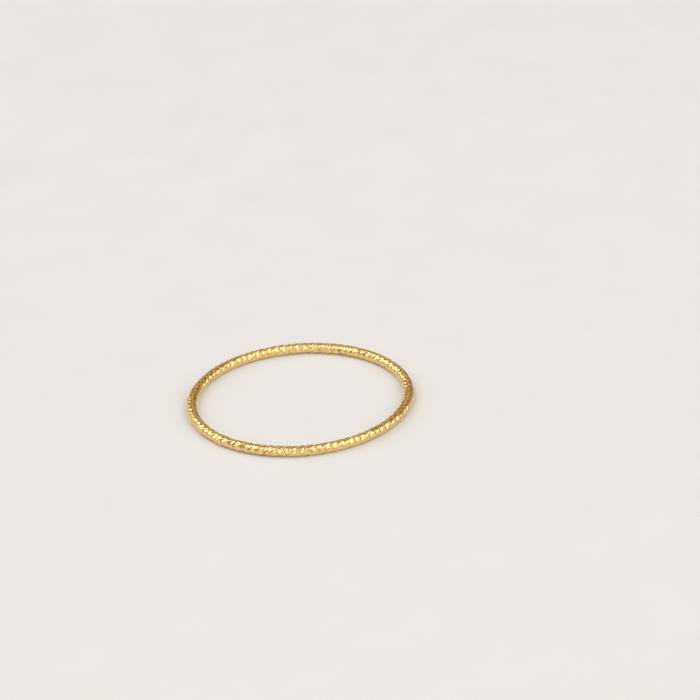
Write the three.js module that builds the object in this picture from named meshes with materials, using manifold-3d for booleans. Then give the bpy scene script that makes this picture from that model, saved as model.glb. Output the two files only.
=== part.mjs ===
// A slim stackable finger ring: one length of diamond-cut wire, twisted, bent round and soldered.
// Lengths are in millimetres, +Z is up. The ring lies on its side, so the finger's axis is Z, and the
// side that touches the next ring of a stack is at z = 0.
import * as THREE from "three";
import { mergeVertices } from "three/addons/utils/BufferGeometryUtils.js";
import Module from "manifold-3d";

// Driving sizes
const FINGER_BORE = 17.3; // clear diameter inside the ring, a US size 7
const WIRE_DIAMETER = 0.9; // the round wire before it was cut
const CUT_DEPTH = 0.05; // from the round surface down to the middle of a cut
const CUT_DEPTH_SPREAD = 0.018; // how much deeper or shallower a cut may be
const CUT_LEAN_SPREAD = THREE.MathUtils.degToRad(12); // how far a cut may lean to either side
const CUT_PLACE_SPREAD = 0.12; // how far a cut may sit before or after its place along the wire
const CUTTER_RADIUS = 3; // the cutting wheel, which leaves each cut hollow along the wire
const SIDE_RUB = 0.03; // what the other rings of a stack have worn off the crests on each side

// The pattern on the wire
const CUT_ROWS = 6; // rows of cuts, side by side round the wire
const CUTS_IN_ROW = 80; // cuts in one row, all the way round the ring
const TWISTS = 15; // whole turns of twist all the way round the ring

// The fineness of the mesh
const STRIPS_PER_ROW = 2;
const STEPS_PER_CUT = 4; // even, so that the middles and the ends of all cuts are met

const WIRE_RADIUS = WIRE_DIAMETER / 2;
const CENTRELINE_RADIUS = FINGER_BORE / 2 + WIRE_RADIUS;
const CUT_LENGTH = (2 * Math.PI * CENTRELINE_RADIUS) / CUTS_IN_ROW;
const STACK_HEIGHT = WIRE_DIAMETER - 2 * SIDE_RUB;
const STRIPS = CUT_ROWS * STRIPS_PER_ROW;
const STATIONS = CUTS_IN_ROW * STEPS_PER_CUT;

const wasm = await Module();
wasm.setup();

// A repeatable scatter from -1 to 1, one for each cut and each thing that varies from cut to cut.
const SCATTER_OF = { depth: 1, lean: 2, place: 3 };
const SCATTER_WAVES = { cut: 12.9898, row: 78.233, kind: 37.719, height: 43758.5453 };

function scatter(kind, row, cut) {
  const { cut: byCut, row: byRow, kind: byKind, height } = SCATTER_WAVES;
  const lap = ((cut % CUTS_IN_ROW) + CUTS_IN_ROW) % CUTS_IN_ROW;
  const wave = height * Math.sin(byCut * lap + byRow * row + byKind * SCATTER_OF[kind]);
  return 2 * (wave - Math.floor(wave)) - 1;
}

// How far the wire's centre is from the floor of one cut at one station, and which way the floor faces.
function cutFloor(row, cut, placeInRow) {
  const along = (placeInRow - cut) * CUT_LENGTH - CUT_PLACE_SPREAD * scatter("place", row, cut);
  const depth = CUT_DEPTH + CUT_DEPTH_SPREAD * scatter("depth", row, cut) - along ** 2 / (2 * CUTTER_RADIUS);
  const facing = (2 * Math.PI * row) / CUT_ROWS + CUT_LEAN_SPREAD * scatter("lean", row, cut);
  return { distance: WIRE_RADIUS - depth, facing };
}

// What the cuts leave of the wire's radius at one station, in a direction that turns with the twist.
// The cuts of every second row start half a cut later, like bricks.
function radiusLeft(station, direction) {
  let radius = WIRE_RADIUS;
  for (let row = 0; row < CUT_ROWS; row++) {
    const placeInRow = station / STEPS_PER_CUT + (row % 2) / 2;
    for (const cut of [Math.floor(placeInRow), Math.ceil(placeInRow)]) {
      const { distance, facing } = cutFloor(row, cut, placeInRow);
      const squareness = Math.cos(direction - facing);
      if (squareness > 0) radius = Math.min(radius, distance / squareness);
    }
  }
  return radius;
}

// A torus whose vertices are turned with the twist and drawn in to the floors of the cuts.
function twistedCutWire() {
  const torus = new THREE.TorusGeometry(CENTRELINE_RADIUS, WIRE_RADIUS, STRIPS, STATIONS);
  const vertices = torus.getAttribute("position");
  for (let strip = 0; strip <= STRIPS; strip++) {
    for (let station = 0; station <= STATIONS; station++) {
      const direction = (2 * Math.PI * strip) / STRIPS;
      const radius = radiusLeft(station % STATIONS, direction);
      const angle = direction + (2 * Math.PI * TWISTS * station) / STATIONS;
      const bearing = (2 * Math.PI * station) / STATIONS;
      const reach = CENTRELINE_RADIUS + radius * Math.cos(angle);
      const height = radius * Math.sin(angle);
      const index = strip * (STATIONS + 1) + station;
      vertices.setXYZ(index, reach * Math.cos(bearing), reach * Math.sin(bearing), height);
    }
  }
  return torus;
}

// The slab between the ring's two sides, beyond which the crests are rubbed off.
function betweenSides() {
  const span = 3 * (CENTRELINE_RADIUS + WIRE_RADIUS);
  return new THREE.BoxGeometry(span, span, STACK_HEIGHT);
}

function solidOf(geometry) {
  const bare = geometry.clone();
  bare.deleteAttribute("normal");
  bare.deleteAttribute("uv");
  const merged = mergeVertices(bare);
  const vertProperties = new Float32Array(merged.getAttribute("position").array);
  const triVerts = new Uint32Array(merged.index.array);
  return new wasm.Manifold(new wasm.Mesh({ numProp: 3, vertProperties, triVerts }));
}

function geometryOf(solid) {
  const { numProp, vertProperties, triVerts } = solid.getMesh();
  const geometry = new THREE.BufferGeometry();
  geometry.setAttribute("position", new THREE.BufferAttribute(vertProperties, numProp));
  geometry.setIndex(new THREE.BufferAttribute(triVerts, 1));
  geometry.computeVertexNormals();
  return geometry;
}

function ringBand() {
  const gold = new THREE.MeshStandardMaterial({ color: 0xe3bd72, roughness: 0.16, metalness: 1 });
  const wire = solidOf(twistedCutWire()).intersect(solidOf(betweenSides()));
  const band = new THREE.Mesh(geometryOf(wire), gold);
  band.name = "ring_band";
  band.position.z = STACK_HEIGHT / 2;
  return band;
}

const ring = new THREE.Group();
ring.add(ringBand());

export default ring;
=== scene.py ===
"""A slim stacking ring of twisted, diamond-cut gold wire, dressed and lit for a close product picture."""

import math

import bmesh
import bpy
from bpy.props import FloatProperty, FloatVectorProperty, IntProperty, PointerProperty
import numpy as np
from mathutils import Matrix, Vector


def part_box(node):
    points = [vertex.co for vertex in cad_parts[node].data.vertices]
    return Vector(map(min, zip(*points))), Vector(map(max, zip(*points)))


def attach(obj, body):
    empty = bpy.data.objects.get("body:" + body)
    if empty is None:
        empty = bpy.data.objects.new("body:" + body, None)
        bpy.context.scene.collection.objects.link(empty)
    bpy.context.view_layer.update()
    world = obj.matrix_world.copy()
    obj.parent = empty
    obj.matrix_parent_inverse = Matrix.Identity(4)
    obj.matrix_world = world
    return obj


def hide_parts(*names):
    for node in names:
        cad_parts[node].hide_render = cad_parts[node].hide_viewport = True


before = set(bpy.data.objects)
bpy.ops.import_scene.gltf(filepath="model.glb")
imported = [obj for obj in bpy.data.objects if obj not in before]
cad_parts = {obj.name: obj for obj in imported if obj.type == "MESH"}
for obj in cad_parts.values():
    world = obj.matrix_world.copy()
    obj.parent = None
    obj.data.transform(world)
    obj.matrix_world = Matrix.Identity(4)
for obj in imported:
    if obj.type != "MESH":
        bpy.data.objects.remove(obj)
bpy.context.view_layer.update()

bl_info = {
    "name": "Twisted Stacking Ring",
    "version": (1, 0, 0),
    "blender": (4, 5, 0),
    "location": "3D View > Sidebar > Ring",
    "description": "Makes a slim ring of twisted diamond-cut wire, its gold surface and a small studio",
    "category": "Add Mesh",
}

MM = 0.001
RING_NODE = "ring_band"
RING_BODY = "root"
RING_LOW, RING_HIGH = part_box(RING_NODE)

# A repeatable scatter for each cut and each thing that varies from cut to cut
SCATTER_OF = {"depth": 1, "lean": 2, "place": 3}
SCATTER_WAVES = {"cut": 12.9898, "row": 78.233, "kind": 37.719, "height": 43758.5453}

DOUBLINGS = 4  # times that the spun part of the torus is doubled to close it
WELD_SHARE = 0.01  # of the wire's radius, within which doubled vertices are merged
UV_NAME = "wire_length_and_girth"
WEAR_NAME = "crest_wear"

# The sizes of the patterns on the gold, in metres, along the wire and across it where there are two
HANDLED_PATCH = 2 * MM
SMEAR = 0.7 * MM
CUTTER_LINE = (0.05 * MM, 0.6 * MM)
HAIR_SCRATCH = (1.2 * MM, 0.05 * MM)
MARK_DEPTH = 0.012 * MM
SCRATCH_SLANT = math.radians(12)  # from straight along the wire
SATIN_FROM = 0.55  # the wear at which the crests begin to turn satin
SCRATCH_EDGES = (0.6, 0.75)  # how much of the streaky noise is a scratch, from its edge to its middle

# The sizes of the patterns on the floor
PAINT_CLOUD = 6 * MM
ROLLED_GRAIN = 0.25 * MM
GRAIN_DEPTH = 0.02 * MM
GRAIN_STRENGTH = 0.3
MATT_ROUGHNESS = 0.8
MATT_SPECULAR = 0.2
FLOOR_HALF_WIDTH = 2.0

# How many layers of finer noise each pattern has
PATCH_LAYERS = 3
SMEAR_LAYERS = 4
LINE_LAYERS = 2
SCRATCH_LAYERS = 3
CLOUD_LAYERS = 5
GRAIN_LAYERS = 4
BAY_LAYERS = 1

# The picture, in pixels: its width, and where the middle of the ring's hole lies on the floor
IMAGE_WIDTH = 700
RING_AT = (300.5, 403)
SENSOR_WIDTH = 36

# The tall windows: their bearings in degrees, left and right of the viewer's side, how high they stand in
# degrees, and their distance, width and height in metres
WINDOW_BEARINGS = (-138, -110, -30, 26, 60, 96)
WINDOW_ELEVATION = 40
WINDOW_DISTANCE = 1.0
WINDOW_SIZE = (0.24, 0.9)

# The room: the direction of its bright side, and how far along it the room is darkest and brightest
BRIGHT_SIDE = (-0.4, -0.45, 0.8)
DARKEST_AT = -0.6
BRIGHTEST_AT = 0.8

# Its upright bays: how many fit in one unit of the way round, which of the noise's patterns they follow,
# and how high the noise is where a bay begins to be lit and where it is fully lit
BAYS = 3.2
BAY_PATTERN = 5.3
BAY_EDGES = (0.5, 0.55)
LEVEL = (1, 1, 0)  # keeps what is level in a direction and drops its height

# The sockets of a Mix node that mixes colours
MIX_FIRST, MIX_SECOND, MIX_RESULT = 6, 7, 2


def linear(hex_colour):
    """An sRGB hex colour as linear red, green, blue and alpha."""
    channels = [int(hex_colour[i:i + 2], 16) / 255 for i in (1, 3, 5)]
    return [c / 12.92 if c <= 0.04045 else ((c + 0.055) / 1.055) ** 2.4 for c in channels] + [1.0]


class RingSizes(bpy.types.PropertyGroup):
    """The wire, the cuts on it, its twist and the fineness of its mesh."""

    finger_bore: FloatProperty(
        name="Finger bore", description="Clear diameter inside the ring",
        default=17.3 * MM, unit="LENGTH", precision=5)
    wire_diameter: FloatProperty(
        name="Wire diameter", description="The round wire before it was cut",
        default=0.9 * MM, unit="LENGTH", precision=5)
    cut_depth: FloatProperty(
        name="Cut depth", description="From the round surface down to the middle of a cut",
        default=0.05 * MM, unit="LENGTH", precision=6)
    cut_depth_spread: FloatProperty(
        name="Cut depth spread", description="How much deeper or shallower a cut may be",
        default=0.018 * MM, unit="LENGTH", precision=6)
    cut_lean_spread: FloatProperty(
        name="Cut lean spread", description="How far a cut may lean to either side",
        default=math.radians(12), subtype="ANGLE")
    cut_place_spread: FloatProperty(
        name="Cut place spread",
        description="How far a cut may sit before or after its place along the wire",
        default=0.12 * MM, unit="LENGTH", precision=6)
    cutter_radius: FloatProperty(
        name="Cutter radius", description="The cutting wheel, which leaves each cut hollow along the wire",
        default=3 * MM, unit="LENGTH", precision=5)
    cut_rows: IntProperty(
        name="Rows of cuts", description="Rows of cuts, side by side round the wire", default=6, min=3)
    cuts_in_row: IntProperty(
        name="Cuts in a row", description="Cuts in one row, all the way round the ring", default=80, min=8)
    twists: IntProperty(
        name="Twists", description="Whole turns of twist all the way round the ring", default=15)
    strips: IntProperty(
        name="Strips", description="Faces round the wire", default=60, min=12)
    stations: IntProperty(
        name="Stations", description="Faces along the wire, all the way round the ring",
        default=1600, min=80)


class GoldFinish(bpy.types.PropertyGroup):
    """The colours and the polish of the metal."""

    alloy: FloatVectorProperty(
        name="Alloy", description="The clean gold alloy",
        default=linear("#F9DC9A"), size=4, subtype="COLOR", min=0, max=1)
    warm_alloy: FloatVectorProperty(
        name="Warm alloy", description="The alloy where handling has left it a little darker and redder",
        default=linear("#F2CE8A"), size=4, subtype="COLOR", min=0, max=1)
    cut_roughness: FloatProperty(
        name="Cut roughness", description="Roughness in the bright cuts",
        default=0.07, min=0, max=1, subtype="FACTOR")
    crest_roughness: FloatProperty(
        name="Crest roughness", description="Roughness on the worn crests",
        default=0.28, min=0, max=1, subtype="FACTOR")
    smear_roughness: FloatProperty(
        name="Smear roughness", description="How much roughness the smears of handling add",
        default=0.08, min=0, max=1, subtype="FACTOR")
    cutter_line_strength: FloatProperty(
        name="Cutter line strength", description="Depth of the fine lines that the cutter leaves",
        default=0.4, min=0, max=1, subtype="FACTOR")
    scratch_strength: FloatProperty(
        name="Scratch strength", description="Depth of the hairline scratches",
        default=0.6, min=0, max=1, subtype="FACTOR")


class StudioSettings(bpy.types.PropertyGroup):
    """The camera, the floor, the room and the window lights."""

    elevation: FloatProperty(
        name="Camera elevation", description="How far the camera looks down",
        default=math.radians(27.5), subtype="ANGLE")
    roll: FloatProperty(
        name="Camera roll", description="How far the camera leans to its right",
        default=math.radians(4.2), subtype="ANGLE")
    distance: FloatProperty(
        name="Camera distance", description="From the camera to the ring, along its line of sight",
        default=0.4, unit="LENGTH")
    lens: FloatProperty(
        name="Lens", description="Focal length in millimetres", default=245.8)
    floor_colour: FloatVectorProperty(
        name="Floor colour", description="The pale matt surface under the ring",
        default=linear("#EAECEF"), size=4, subtype="COLOR", min=0, max=1)
    thin_paint_colour: FloatVectorProperty(
        name="Thin paint colour", description="The floor where its paint is thinner",
        default=linear("#E5E6E7"), size=4, subtype="COLOR", min=0, max=1)
    wall_colour: FloatVectorProperty(
        name="Wall colour", description="The room's dark bays, and its dark side low at the right and back",
        default=linear("#957545"), size=4, subtype="COLOR", min=0, max=1)
    ceiling_colour: FloatVectorProperty(
        name="Ceiling colour", description="The room's lit bays, brightest high at the left and front",
        default=linear("#F1F5FA"), size=4, subtype="COLOR", min=0, max=1)
    room_brightness: FloatProperty(
        name="Room brightness", description="How bright the room's walls and ceiling are",
        default=1.0, min=0)
    window_power: FloatProperty(
        name="Window power", description="Power of each tall window light",
        default=1.58, subtype="POWER")
    window_colour: FloatVectorProperty(
        name="Window colour", description="The colour of the window light",
        default=linear("#FFFFFF"), size=4, subtype="COLOR", min=0, max=1)


def scatter(kind, row, cut):
    """A repeatable number from -1 to 1 for one cut."""
    waves = SCATTER_WAVES
    phase = waves["cut"] * cut + waves["row"] * row + waves["kind"] * SCATTER_OF[kind]
    wave = waves["height"] * math.sin(phase)
    return 2 * (wave - math.floor(wave)) - 1


class CutWire:
    """Works out what the cuts leave of the wire's radius."""

    def __init__(self, sizes):
        self.sizes = sizes
        self.radius = sizes.wire_diameter / 2
        self.centreline = sizes.finger_bore / 2 + self.radius
        self.length = 2 * math.pi * self.centreline
        self.scatters = {
            kind: np.array([
                [scatter(kind, row, cut) for cut in range(sizes.cuts_in_row)]
                for row in range(sizes.cut_rows)
            ])
            for kind in SCATTER_OF
        }

    def floor_of(self, row, cut, place):
        """How far the wire's centre is from the floor of a cut, and which way the floor faces."""
        sizes = self.sizes
        lap = (cut % sizes.cuts_in_row).astype(int)
        shift = sizes.cut_place_spread * self.scatters["place"][row][lap]
        along = (place - cut) * self.length / sizes.cuts_in_row - shift
        depth = sizes.cut_depth + sizes.cut_depth_spread * self.scatters["depth"][row][lap]
        lean = sizes.cut_lean_spread * self.scatters["lean"][row][lap]
        hollow = along ** 2 / (2 * sizes.cutter_radius)
        return self.radius - depth + hollow, 2 * math.pi * row / sizes.cut_rows + lean

    def radius_left(self, share, angle):
        """The wire's radius at a share of its length, in a direction that turns with the twist."""
        radius = np.full_like(angle, self.radius)
        for row in range(self.sizes.cut_rows):
            place = share * self.sizes.cuts_in_row + (row % 2) / 2
            for cut in (np.floor(place), np.ceil(place)):
                distance, facing = self.floor_of(row, cut, place)
                squareness = np.cos(angle - facing)
                reach = distance / np.maximum(squareness, distance / self.radius)
                radius = np.minimum(radius, reach)
        return radius


def torus_of_wire(wire, sizes):
    """Spins the wire's round section part of the way about Z, and doubles that part until it is a torus."""
    bm = bmesh.new()
    section = bmesh.ops.create_circle(bm, cap_ends=False, segments=sizes.strips, radius=wire.radius)
    upright = Matrix.Translation((wire.centreline, 0, 0)) @ Matrix.Rotation(math.pi / 2, 4, "X")
    bmesh.ops.transform(bm, matrix=upright, verts=section["verts"])
    parts = 2 ** DOUBLINGS
    arc = 2 * math.pi / parts
    bmesh.ops.spin(
        bm, geom=bm.verts[:] + bm.edges[:], cent=(0, 0, 0), axis=(0, 0, 1), dvec=(0, 0, 0),
        angle=arc, steps=sizes.stations // parts,
        use_merge=False, use_normal_flip=False, use_duplicate=False)
    for _ in range(DOUBLINGS):
        copy = bmesh.ops.duplicate(bm, geom=bm.verts[:] + bm.edges[:] + bm.faces[:])
        copied = [element for element in copy["geom"] if isinstance(element, bmesh.types.BMVert)]
        bmesh.ops.rotate(bm, cent=(0, 0, 0), matrix=Matrix.Rotation(arc, 3, "Z"), verts=copied)
        arc *= 2
    bmesh.ops.remove_doubles(bm, verts=bm.verts, dist=wire.radius * WELD_SHARE)
    bmesh.ops.recalc_face_normals(bm, faces=bm.faces)
    return bm


def torus_places(mesh, wire):
    """Each vertex's share of the way round the ring, and its angle round the wire, on the plain torus."""
    co = np.empty(len(mesh.vertices) * 3)
    mesh.vertices.foreach_get("co", co)
    x, y, z = co.reshape(-1, 3).T
    share = (np.arctan2(y, x) / (2 * math.pi)) % 1
    angle = np.arctan2(z, np.hypot(x, y) - wire.centreline)
    return share, angle


def cut_and_twist(mesh, wire, sizes, share, angle):
    """Draws each vertex in to the floors of the cuts, turned with the twist, and rubs the sides flat."""
    radius = wire.radius_left(share, angle)
    turned = angle + 2 * math.pi * sizes.twists * share
    reach = wire.centreline + radius * np.cos(turned)
    bearing = 2 * math.pi * share
    half_height = (RING_HIGH.z - RING_LOW.z) / 2
    co = np.column_stack((
        reach * np.cos(bearing),
        reach * np.sin(bearing),
        radius * np.sin(turned) + half_height,
    ))
    co = np.clip(co, RING_LOW, RING_HIGH)
    mesh.vertices.foreach_set("co", co.ravel())
    deepest = wire.radius - sizes.cut_depth
    wear = np.clip((radius - deepest) / sizes.cut_depth, 0, 1)
    mesh.attributes.new(WEAR_NAME, "FLOAT", "POINT").data.foreach_set("value", wear)


def map_along_wire(mesh, wire, share, angle):
    """Gives each face a map in metres, along the wire and round it."""
    corners = np.empty(len(mesh.loops), dtype=int)
    mesh.loops.foreach_get("vertex_index", corners)
    firsts = np.empty(len(mesh.polygons), dtype=int)
    mesh.polygons.foreach_get("loop_start", firsts)
    sides = np.empty(len(mesh.polygons), dtype=int)
    mesh.polygons.foreach_get("loop_total", sides)
    first_corner = np.repeat(corners[firsts], sides)
    columns = []
    for places, span in ((share, wire.length), (angle / (2 * math.pi), 2 * math.pi * wire.radius)):
        step = places[corners] - places[first_corner]
        near = places[first_corner] + step - np.round(step)
        columns.append(near * span)
    uv = mesh.uv_layers.new(name=UV_NAME)
    uv.data.foreach_set("uv", np.column_stack(columns).ravel())


def new_object(name, bm):
    """Turns a bmesh into an object in the scene."""
    mesh = bpy.data.meshes.new(name)
    bm.to_mesh(mesh)
    bm.free()
    obj = bpy.data.objects.new(name, mesh)
    bpy.context.scene.collection.objects.link(obj)
    return obj


def node(tree, kind, inputs=None, **settings):
    """Adds one node with its settings. Each input is given a value, or the socket that feeds it."""
    made = tree.nodes.new(kind)
    for name, value in settings.items():
        setattr(made, name, value)
    for name, value in (inputs or {}).items():
        if isinstance(value, bpy.types.NodeSocket):
            tree.links.new(value, made.inputs[name])
        else:
            made.inputs[name].default_value = value
    return made


def new_material(name):
    """A material with an empty node tree."""
    material = bpy.data.materials.new(name)
    material.use_nodes = True
    material.node_tree.nodes.clear()
    return material


def alloy_colour(tree, place, finish):
    """The alloy, a little darker and redder in soft patches where it has been handled."""
    patches = node(tree, "ShaderNodeTexNoise", {
        "Vector": place, "Scale": 1 / HANDLED_PATCH, "Detail": PATCH_LAYERS,
    })
    tone = node(tree, "ShaderNodeMix", {
        "Factor": patches.outputs["Fac"], MIX_FIRST: finish.alloy, MIX_SECOND: finish.warm_alloy,
    }, data_type="RGBA")
    return tone.outputs[MIX_RESULT]


def polish(tree, place, finish):
    """The roughness: the diamond leaves the cuts bright, wear turns crests satin, and skin smears both."""
    wear = node(tree, "ShaderNodeAttribute", attribute_name=WEAR_NAME).outputs["Fac"]
    satin = node(tree, "ShaderNodeMapRange", {
        "Value": wear, "From Min": SATIN_FROM, "From Max": 1.0,
        "To Min": finish.cut_roughness, "To Max": finish.crest_roughness,
    })
    smears = node(tree, "ShaderNodeTexNoise", {
        "Vector": place, "Scale": 1 / SMEAR, "Detail": SMEAR_LAYERS,
    })
    smeared = node(tree, "ShaderNodeMath", {
        0: smears.outputs["Fac"], 1: finish.smear_roughness, 2: satin.outputs["Result"],
    }, operation="MULTIPLY_ADD")
    return smeared.outputs["Value"]


def cutter_lines(tree, along_wire, finish):
    """Fine lines across the wire from the cutter's edge, drawn coarser than the real 0.01 mm to show."""
    length, girth = CUTTER_LINE
    stretched = node(tree, "ShaderNodeMapping", {
        "Vector": along_wire, "Scale": (length, girth, 1),
    }, vector_type="TEXTURE")
    lines = node(tree, "ShaderNodeTexNoise", {
        "Vector": stretched.outputs["Vector"], "Scale": 1, "Detail": LINE_LAYERS,
    })
    relief = node(tree, "ShaderNodeBump", {
        "Height": lines.outputs["Fac"], "Strength": finish.cutter_line_strength, "Distance": MARK_DEPTH,
    })
    return relief.outputs["Normal"]


def hairline_scratches(tree, along_wire, under, finish):
    """Hairline scratches on the crests, mostly along the wire, drawn wider than the real 0.01 mm to show."""
    length, girth = HAIR_SCRATCH
    stretched = node(tree, "ShaderNodeMapping", {
        "Vector": along_wire, "Rotation": (0, 0, SCRATCH_SLANT), "Scale": (length, girth, 1),
    }, vector_type="TEXTURE")
    streaks = node(tree, "ShaderNodeTexNoise", {
        "Vector": stretched.outputs["Vector"], "Scale": 1, "Detail": SCRATCH_LAYERS,
    })
    edge, middle = SCRATCH_EDGES
    hairs = node(tree, "ShaderNodeMapRange", {
        "Value": streaks.outputs["Fac"], "From Min": edge, "From Max": middle,
    })
    wear = node(tree, "ShaderNodeAttribute", attribute_name=WEAR_NAME).outputs["Fac"]
    worn = node(tree, "ShaderNodeMath", {0: hairs.outputs["Result"], 1: wear}, operation="MULTIPLY")
    relief = node(tree, "ShaderNodeBump", {
        "Height": worn.outputs["Value"], "Strength": finish.scratch_strength, "Distance": MARK_DEPTH,
        "Normal": under,
    }, invert=True)
    return relief.outputs["Normal"]


def diamond_cut_gold(finish):
    """14-karat gold-filled wire, drawn, twisted, cut with a diamond and polished, then worn."""
    material = new_material("diamond_cut_gold_filled_wire")
    tree = material.node_tree
    place = node(tree, "ShaderNodeTexCoord").outputs["Object"]
    along_wire = node(tree, "ShaderNodeUVMap", uv_map=UV_NAME).outputs["UV"]
    lines = cutter_lines(tree, along_wire, finish)
    shader = node(tree, "ShaderNodeBsdfPrincipled", {
        "Metallic": 1,
        "Base Color": alloy_colour(tree, place, finish),
        "Roughness": polish(tree, place, finish),
        "Normal": hairline_scratches(tree, along_wire, lines, finish),
    })
    node(tree, "ShaderNodeOutputMaterial", {"Surface": shader.outputs["BSDF"]})
    return material


class RING_OT_band(bpy.types.Operator):
    """Makes the ring: the twisted wire with its cuts and its gold, in place of the plain solid"""

    bl_idname = "ring.band"
    bl_label = "Make the Band"

    def execute(self, context):
        sizes = context.scene.ring_sizes
        if sizes.stations % 2 ** DOUBLINGS:
            raise ValueError(f"The stations must be a multiple of {2 ** DOUBLINGS} for the ring to close")
        wire = CutWire(sizes)
        band = new_object("twisted_wire_band", torus_of_wire(wire, sizes))
        share, angle = torus_places(band.data, wire)
        cut_and_twist(band.data, wire, sizes, share, angle)
        map_along_wire(band.data, wire, share, angle)
        band.data.shade_smooth()
        band.data.materials.append(diamond_cut_gold(context.scene.gold_finish))
        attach(band, RING_BODY)
        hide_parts(RING_NODE)
        return {"FINISHED"}


def make_camera(studio):
    """Sets the camera at the picture's angle, with the ring where it lies in the picture."""
    pixel = studio.distance * SENSOR_WIDTH / studio.lens / IMAGE_WIDTH
    tilt, roll = studio.elevation, -studio.roll
    forward = Vector((0, math.cos(tilt), -math.sin(tilt)))
    level_up = Vector((0, math.sin(tilt), math.cos(tilt)))
    level_right = Vector((1, 0, 0))
    right = level_right * math.cos(roll) + level_up * math.sin(roll)
    up = level_up * math.cos(roll) - level_right * math.sin(roll)
    aside = (RING_AT[0] - IMAGE_WIDTH / 2) * pixel
    above = (IMAGE_WIDTH / 2 - RING_AT[1]) * pixel
    place = -forward * studio.distance - right * aside - up * above

    data = bpy.data.cameras.new("camera")
    data.lens = studio.lens
    data.sensor_width = SENSOR_WIDTH
    camera = bpy.data.objects.new("camera", data)
    turn = Matrix((right, up, -forward)).transposed().to_4x4()
    camera.matrix_world = Matrix.Translation(place) @ turn
    bpy.context.scene.collection.objects.link(camera)
    bpy.context.scene.camera = camera


def make_window(bearing, studio):
    """A tall window, as an area light that faces the ring."""
    turn = math.radians(bearing)
    rise = math.radians(WINDOW_ELEVATION)
    towards = Vector((math.sin(turn) * math.cos(rise), -math.cos(turn) * math.cos(rise), math.sin(rise)))
    data = bpy.data.lights.new("window", "AREA")
    data.shape = "RECTANGLE"
    data.size, data.size_y = WINDOW_SIZE
    data.energy = studio.window_power
    data.color = studio.window_colour[:3]
    light = bpy.data.objects.new("window", data)
    facing_in = towards.to_track_quat("Z", "Y").to_matrix().to_4x4()
    light.matrix_world = Matrix.Translation(towards * WINDOW_DISTANCE) @ facing_in
    bpy.context.scene.collection.objects.link(light)


def painted_plaster(studio):
    """Matt painted plaster: pale, faintly mottled where the paint is thinner, with a fine rolled grain."""
    material = new_material("matt_painted_plaster")
    tree = material.node_tree
    place = node(tree, "ShaderNodeTexCoord").outputs["Object"]
    clouds = node(tree, "ShaderNodeTexNoise", {
        "Vector": place, "Scale": 1 / PAINT_CLOUD, "Detail": CLOUD_LAYERS,
    })
    tone = node(tree, "ShaderNodeMix", {
        "Factor": clouds.outputs["Fac"],
        MIX_FIRST: studio.floor_colour, MIX_SECOND: studio.thin_paint_colour,
    }, data_type="RGBA")
    grain = node(tree, "ShaderNodeTexNoise", {
        "Vector": place, "Scale": 1 / ROLLED_GRAIN, "Detail": GRAIN_LAYERS,
    })
    rolled = node(tree, "ShaderNodeBump", {
        "Height": grain.outputs["Fac"], "Strength": GRAIN_STRENGTH, "Distance": GRAIN_DEPTH,
    })
    shader = node(tree, "ShaderNodeBsdfPrincipled", {
        "Base Color": tone.outputs[MIX_RESULT],
        "Roughness": MATT_ROUGHNESS,
        "Specular IOR Level": MATT_SPECULAR,
        "Normal": rolled.outputs["Normal"],
    })
    node(tree, "ShaderNodeOutputMaterial", {"Surface": shader.outputs["BSDF"]})
    return material


def make_floor(studio):
    """The plain pale floor that the ring lies on."""
    bm = bmesh.new()
    bmesh.ops.create_grid(bm, x_segments=1, y_segments=1, size=FLOOR_HALF_WIDTH)
    floor = new_object("floor", bm)
    floor.data.materials.append(painted_plaster(studio))


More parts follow.
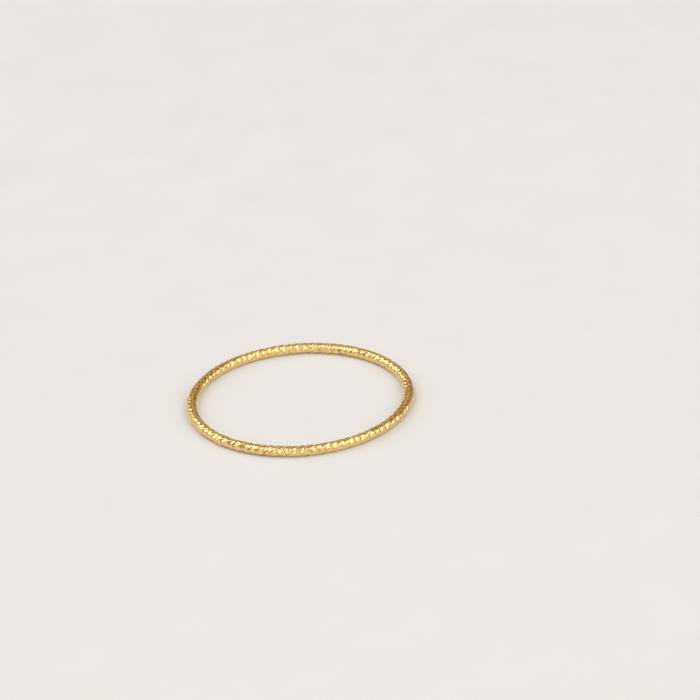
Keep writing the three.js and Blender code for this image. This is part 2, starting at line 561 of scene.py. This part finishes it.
def make_room(studio):
    """The room that the gold mirrors: upright bays, palest high at the left and brown at the right."""
    world = bpy.data.worlds.new("room")
    world.use_nodes = True
    tree = world.node_tree
    tree.nodes.clear()
    direction = node(tree, "ShaderNodeTexCoord").outputs["Generated"]
    sideways = node(tree, "ShaderNodeVectorMath", {
        0: direction, 1: BRIGHT_SIDE,
    }, operation="DOT_PRODUCT")
    light = node(tree, "ShaderNodeMapRange", {
        "Value": sideways.outputs["Value"], "From Min": DARKEST_AT, "From Max": BRIGHTEST_AT,
    })
    level = node(tree, "ShaderNodeVectorMath", {0: direction, 1: LEVEL}, operation="MULTIPLY")
    around = node(tree, "ShaderNodeVectorMath", {0: level.outputs["Vector"]}, operation="NORMALIZE")
    uneven = node(tree, "ShaderNodeTexNoise", {
        "Vector": around.outputs["Vector"], "W": BAY_PATTERN, "Scale": BAYS, "Detail": BAY_LAYERS,
    }, noise_dimensions="4D")
    dim, lit = BAY_EDGES
    bays = node(tree, "ShaderNodeMapRange", {
        "Value": uneven.outputs["Fac"], "From Min": dim, "From Max": lit,
    })
    lit_bays = node(tree, "ShaderNodeMath", {
        0: light.outputs["Result"], 1: bays.outputs["Result"],
    }, operation="MULTIPLY")
    colour = node(tree, "ShaderNodeMix", {
        "Factor": lit_bays.outputs["Value"],
        MIX_FIRST: studio.wall_colour, MIX_SECOND: studio.ceiling_colour,
    }, data_type="RGBA")
    background = node(tree, "ShaderNodeBackground", {
        "Color": colour.outputs[MIX_RESULT], "Strength": studio.room_brightness,
    })
    node(tree, "ShaderNodeOutputWorld", {"Surface": background.outputs["Background"]})
    bpy.context.scene.world = world


class RING_OT_studio(bpy.types.Operator):
    """Makes the pale floor, the window lights, the room and the camera"""

    bl_idname = "ring.studio"
    bl_label = "Make the Studio"

    def execute(self, context):
        studio = context.scene.ring_studio
        make_floor(studio)
        for bearing in WINDOW_BEARINGS:
            make_window(bearing, studio)
        make_room(studio)
        make_camera(studio)
        context.scene.view_settings.view_transform = "Standard"
        return {"FINISHED"}


class RING_PT_panel(bpy.types.Panel):
    """Lists the ring's sizes, its finish and its studio"""

    bl_idname = "RING_PT_panel"
    bl_label = "Twisted Stacking Ring"
    bl_space_type = "VIEW_3D"
    bl_region_type = "UI"
    bl_category = "Ring"

    def draw(self, context):
        scene = context.scene
        for group, operator in (
            (scene.ring_sizes, RING_OT_band.bl_idname),
            (scene.gold_finish, None),
            (scene.ring_studio, RING_OT_studio.bl_idname),
        ):
            column = self.layout.column(align=True)
            for name in group.__annotations__:
                column.prop(group, name)
            if operator:
                self.layout.operator(operator)


CLASSES = (RingSizes, GoldFinish, StudioSettings, RING_OT_band, RING_OT_studio, RING_PT_panel)


def register():
    for cls in CLASSES:
        bpy.utils.register_class(cls)
    bpy.types.Scene.ring_sizes = PointerProperty(type=RingSizes)
    bpy.types.Scene.gold_finish = PointerProperty(type=GoldFinish)
    bpy.types.Scene.ring_studio = PointerProperty(type=StudioSettings)


def unregister():
    del bpy.types.Scene.ring_studio
    del bpy.types.Scene.gold_finish
    del bpy.types.Scene.ring_sizes
    for cls in reversed(CLASSES):
        bpy.utils.unregister_class(cls)


def main():
    register()
    bpy.ops.ring.studio()
    bpy.ops.ring.band()


if __name__ == "__main__":
    main()
